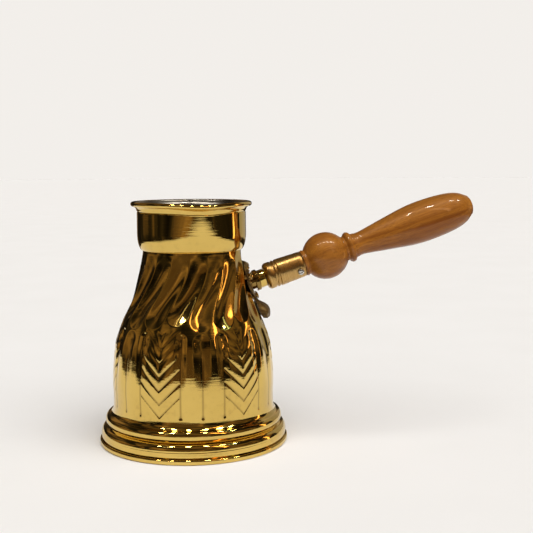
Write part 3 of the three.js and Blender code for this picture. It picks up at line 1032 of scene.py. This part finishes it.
def ring(name, inner, outer, material):
    """A flat ring in metres, or a disc where the inner radius is 0."""
    steps = 96
    angles = np.arange(steps) * FULL_TURN / steps
    circle = np.column_stack([np.cos(angles), np.sin(angles), np.zeros(steps)])
    vertices = np.vstack([circle * inner, circle * outer]) / MM
    if inner > 0:
        faces = [[steps + i, steps + (i + 1) % steps, (i + 1) % steps, i] for i in range(steps)]
    else:
        vertices = vertices[steps:]
        faces = [list(range(steps))]
    piece = make_object(name, vertices, faces)
    piece.location.z = -0.00005
    piece.data.materials.append(material)
    return piece


def make_floor():
    """The table's near part shows in the metal; the far part and the world beyond don't."""
    material = floor_material()
    ring("floor", 0, FLOOR_RADIUS, material)
    far = ring("far_floor", FLOOR_RADIUS, FAR_FLOOR_RADIUS, material)
    far.visible_glossy = False


def make_world():
    """Pale behind the object, and a dim warm room in reflections."""
    world = bpy.data.worlds.new("studio")
    bpy.context.scene.world = world
    world.use_nodes = True
    tree = world.node_tree
    direction = tree.nodes.new("ShaderNodeTexCoord").outputs["Generated"]
    room = tree.nodes.new("ShaderNodeTexNoise")
    room.inputs["Scale"].default_value = 2.1
    room.inputs["Detail"].default_value = 2.0
    room.inputs["Distortion"].default_value = 0.6
    tree.links.new(direction, room.inputs["Vector"])
    shades = tree.nodes.new("ShaderNodeValToRGB")
    shades.color_ramp.elements[0].position = 0.36
    shades.color_ramp.elements[0].color = rgb(0.006, 0.005, 0.004)
    shades.color_ramp.elements[1].position = 0.68
    shades.color_ramp.elements[1].color = rgb(0.3, 0.19, 0.09)
    middle = shades.color_ramp.elements.new(0.52)
    middle.color = rgb(0.03, 0.024, 0.017)
    tree.links.new(room.outputs["Fac"], shades.inputs["Fac"])
    path = tree.nodes.new("ShaderNodeLightPath")
    mix = tree.nodes.new("ShaderNodeMix")
    mix.data_type = "RGBA"
    mix.inputs[7].default_value = rgb(*FLOOR_COLOUR_IN_LIGHT)
    tree.links.new(shades.outputs["Color"], mix.inputs[6])
    tree.links.new(path.outputs["Is Camera Ray"], mix.inputs["Factor"])
    tree.links.new(mix.outputs[2], tree.nodes["Background"].inputs["Color"])


def round_the_pot(azimuth, elevation, distance):
    """A point seen from the pot. Azimuth 0 is towards the camera, and positive is to its right."""
    angle = math.radians(CAMERA_SIDE + azimuth)
    level = math.cos(math.radians(elevation)) * distance
    height = 0.06 + math.sin(math.radians(elevation)) * distance
    return Vector((level * math.cos(angle), level * math.sin(angle), height))


def panel(name, place, size, brightness, colour, turn=0.0):
    """Something bright in the room that faces the pot and only shows in metal and varnish.

    Its brightness is relative to white paper's.
    """
    data = bpy.data.lights.new(name, "AREA")
    data.shape = "RECTANGLE"
    data.size, data.size_y = size
    data.energy = brightness * size[0] * size[1] * math.pi
    data.color = colour
    made = bpy.data.objects.new(name, data)
    made.location = place
    made.rotation_mode = "QUATERNION"
    facing = (Vector((0, 0, 0.06)) - place).to_track_quat("-Z", "Y")
    made.rotation_quaternion = facing @ Quaternion((0, 0, 1), math.radians(turn))
    made.visible_diffuse = False
    made.visible_camera = False
    bpy.context.scene.collection.objects.link(made)
    return made


def make_daylight():
    """Even, soft light from the front and above for the floor and wood. Metal doesn't mirror it."""
    data = bpy.data.lights.new("daylight", "SUN")
    data.energy = 3.38
    data.angle = math.radians(75)
    made = bpy.data.objects.new("daylight", data)
    made.rotation_euler = (math.radians(28), math.radians(8), 0)
    made.visible_glossy = False
    bpy.context.scene.collection.objects.link(made)


def make_lights():
    warm = (1.0, 0.56, 0.24)
    cream = (1.0, 0.93, 0.8)
    make_daylight()
    panel("brown_wall", round_the_pot(-16, 6, 1.2), (1.25, 0.8), 0.1, (1.0, 0.6, 0.28))
    panel("copper_strip", round_the_pot(36, 40, 0.9), (0.05, 0.6), 6, warm, turn=12)
    panel("copper_glow", round_the_pot(40, 44, 1.0), (0.3, 0.5), 0.3, warm)
    panel("copper_strip_low", round_the_pot(100, 8, 0.9), (0.05, 0.5), 4, warm)
    panel("window_edge", round_the_pot(62, 52, 1.2), (0.02, 0.5), 5, (0.75, 1.0, 0.8))
    panel("left_edge", round_the_pot(-44, 50, 1.2), (0.03, 0.4), 3, cream)
    panel("right_wall", round_the_pot(140, 15, 1.2), (0.9, 0.9), 0.4, cream)
    for number in range(6):
        place = Vector((-0.78 + 0.32 * number, -0.3, 1.3))
        panel(f"skylight_{number}", place, (0.06, 0.14), 75, cream)


# ---- Camera -------------------------------------------------------------------------------

# Metres, degrees and, for the lens, millimetres.
CAMERA_SIDE = -96.0  # azimuth of the camera round the vessel
CAMERA_DISTANCE = 0.4734
CAMERA_HEIGHT = 0.1379
CAMERA_HEADING = 79.5
CAMERA_PITCH = -6.14
CAMERA_ROLL = -0.28
CAMERA_LENS = 64.17


def make_camera():
    data = bpy.data.cameras.new("camera")
    data.sensor_width = 36
    data.lens = CAMERA_LENS
    data.clip_start = 0.01
    data.clip_end = 100
    camera = bpy.data.objects.new("camera", data)
    side = math.radians(CAMERA_SIDE)
    level = Vector((math.cos(side), math.sin(side), 0)) * CAMERA_DISTANCE
    camera.location = level + Vector((0, 0, CAMERA_HEIGHT))
    heading = math.radians(CAMERA_HEADING)
    pitch = math.radians(CAMERA_PITCH)
    ahead = math.cos(pitch)
    look = Vector((ahead * math.cos(heading), ahead * math.sin(heading), math.sin(pitch)))
    roll = Quaternion((0, 0, 1), math.radians(CAMERA_ROLL))
    camera.rotation_mode = "QUATERNION"
    camera.rotation_quaternion = look.to_track_quat("-Z", "Y") @ roll
    bpy.context.scene.collection.objects.link(camera)
    bpy.context.scene.camera = camera


# ---- Assembly -----------------------------------------------------------------------------

make_camera()

brass = polished_brass()
cast = cast_brass()
steel = bright_steel()

make_vessel(brass, tinned_inside())
make_base(brass)
make_seam(grey_solder())
make_bracket(cast)
make_rivets(cast)
make_boss(brass)
make_stud(steel)
make_ferrule(brushed_brass())
make_screw(steel)
make_grip(varnished_wood())

make_floor()
make_world()
make_lights()
bpy.context.scene.view_settings.view_transform = "Standard"
